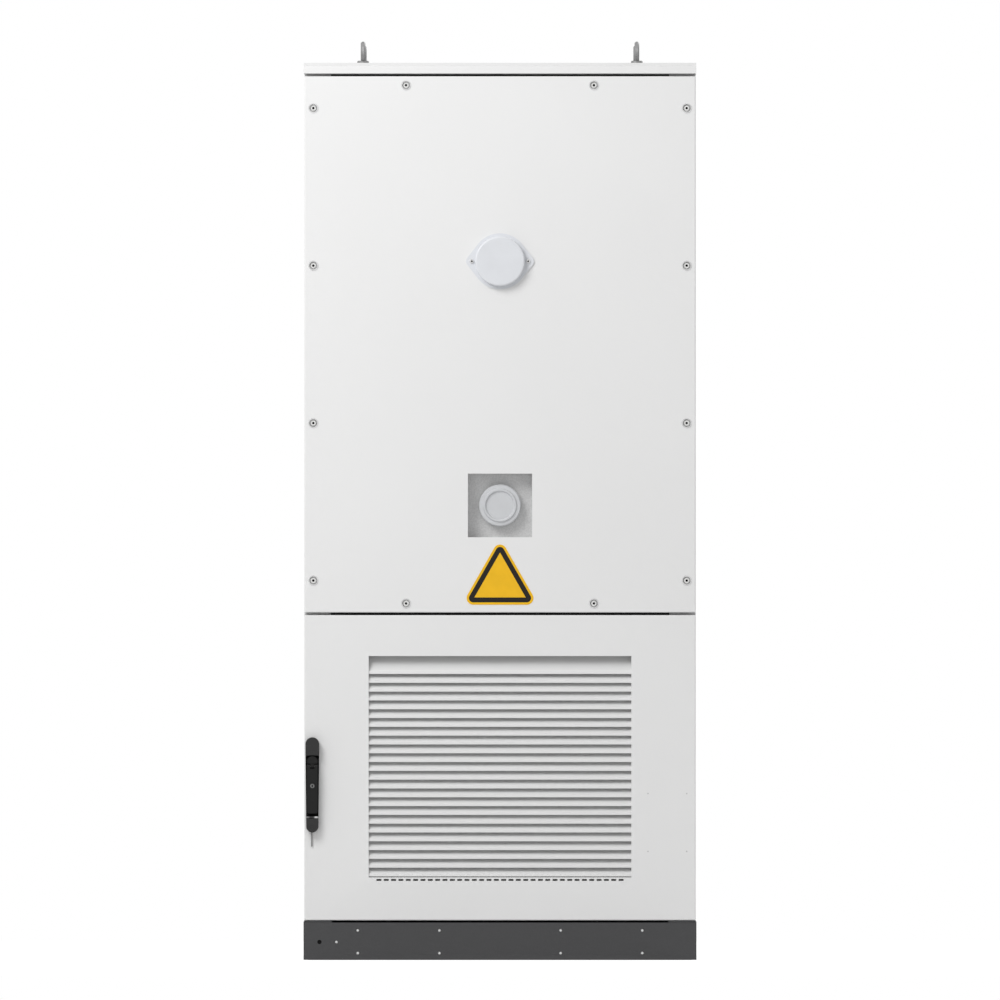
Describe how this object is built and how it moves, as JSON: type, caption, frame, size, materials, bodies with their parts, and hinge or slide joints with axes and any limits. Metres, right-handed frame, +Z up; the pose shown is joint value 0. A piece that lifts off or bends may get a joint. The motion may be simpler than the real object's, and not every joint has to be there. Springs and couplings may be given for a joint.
{
  "type": "battery cabinet",
  "caption": "Outdoor battery cabinet with a screwed front panel, a louvred lower door with a swing handle, a plinth with fork pockets and a roof with lifting eyes.",
  "frame": {"origin": "on the floor, at the centre of the four anchor holes in the plinth", "axes": "+Z up, front faces -Y, +X to the right seen from the front"},
  "size_m": [1.004, 1.126, 2.3469],
  "materials": {
    "cabinet_paint": "fine-textured powder coat",
    "plinth_paint": "coarse-textured dark powder coat",
    "galvanised": "galvanised sheet, matt",
    "zinc": "zinc plated",
    "handle_black": "fine matt moulding",
    "light_polymer": "satin moulding",
    "sign_yellow": "satin film",
    "sign_black": "satin film",
    "seal_rubber": "matt",
    "filter_fabric": "coarse mat",
    "module_case": "satin",
    "coil_aluminium": "satin",
    "fan_plastic": "matt"
  },
  "bodies": {
    "cabinet": {"base_pan": "galvanised", "battery_modules": "module_case", "control_box": "module_case", "cooler_housing": "galvanised", "cooling_coil": "coil_aluminium", "corner_posts": "galvanised", "divider_shelf": "galvanised", "fan_motors": "fan_plastic", "filler_spigot": "light_polymer", "front_panel": "cabinet_paint", "front_rails": "galvanised", "gap_strips": "seal_rubber", "gland_plate": "galvanised", "hinge_frame_leaves": "zinc", "hinge_pins": "zinc", "lifting_blocks": "galvanised", "lifting_eyes": "zinc", "module_links": "zinc", "panel_screws": "zinc", "panel_seals": "seal_rubber", "plinth_corners": "plinth_paint", "plinth_front": "plinth_paint", "plinth_rear": "plinth_paint", "plinth_sides": "plinth_paint", "rack_runners": "galvanised", "rack_uprights": "galvanised", "rear_panel": "cabinet_paint", "rear_rails": "galvanised", "recess_pan": "galvanised", "rivet_nuts": "zinc", "roof": "cabinet_paint", "screw_cups": "zinc", "side_panels": "cabinet_paint", "side_rails": "galvanised", "sign_border": "sign_black", "sign_plate": "sign_yellow", "top_plate": "cabinet_paint", "vent_cover": "light_polymer", "vent_screws": "zinc"},
    "door": {"door_skin": "cabinet_paint", "louvre_panel": "cabinet_paint", "filter_rim": "galvanised", "filter_mat": "filter_fabric", "door_rivets": "zinc", "door_stiffeners": "galvanised", "door_seal": "seal_rubber", "hinge_door_leaves": "zinc", "handle_base": "handle_black", "handle_band": "zinc", "padlock_blade": "zinc", "rod_guides": "galvanised"},
    "handle": {"handle_turret": "handle_black"},
    "lever": {"handle_lever": "handle_black", "lever_pin": "zinc"},
    "lock": {"lock_barrel": "zinc"},
    "rod_upper": {"lock_rod_upper": "zinc"},
    "rod_lower": {"lock_rod_lower": "zinc"},
    "cap": {"filler_cap": "light_polymer"},
    "fan_left": {"fan_left": "fan_plastic"},
    "fan_right": {"fan_right": "fan_plastic"}
  },
  "joints": [
    {"name": "door_swing", "type": "hinge", "parent": "cabinet", "child": "door", "pos_m": [0.488, -0.538, 0.49], "axis": [0, 0, 1], "range_deg": [0, 110]},
    {"name": "handle_turn", "type": "hinge", "parent": "door", "child": "handle", "pos_m": [-0.4795, -0.56, 0.5066], "axis": [0, -1, 0], "range_deg": [0, 90]},
    {"name": "lever_swing", "type": "hinge", "parent": "handle", "child": "lever", "pos_m": [-0.4795, -0.567, 0.494], "axis": [-1, 0, 0], "range_deg": [0, 45]},
    {"name": "key_turn", "type": "hinge", "parent": "lever", "child": "lock", "pos_m": [-0.4795, -0.567, 0.4443], "axis": [0, -1, 0], "range_deg": [0, 90]},
    {"name": "rod_upper_slide", "type": "slide", "parent": "door", "child": "rod_upper", "axis": [0, 0, -1], "range_m": [0, 0.015]},
    {"name": "rod_lower_slide", "type": "slide", "parent": "door", "child": "rod_lower", "axis": [0, 0, 1], "range_m": [0, 0.015]},
    {"name": "cap_turn", "type": "hinge", "parent": "cabinet", "child": "cap", "pos_m": [0, -0.515, 1.16095], "axis": [0, -1, 0], "range_deg": [0, 90]},
    {"name": "fan_left_spin", "type": "hinge", "parent": "cabinet", "child": "fan_left", "pos_m": [-0.19, -0.411, 0.45], "axis": [0, 1, 0], "continuous": true},
    {"name": "fan_right_spin", "type": "hinge", "parent": "cabinet", "child": "fan_right", "pos_m": [0.19, -0.411, 0.45], "axis": [0, 1, 0], "continuous": true}
  ],
  "couplings": [
    {"joint": "rod_upper_slide", "follows": "handle_turn", "m_per_rad": 0.009549},
    {"joint": "rod_lower_slide", "follows": "handle_turn", "m_per_rad": 0.009549}
  ]
}
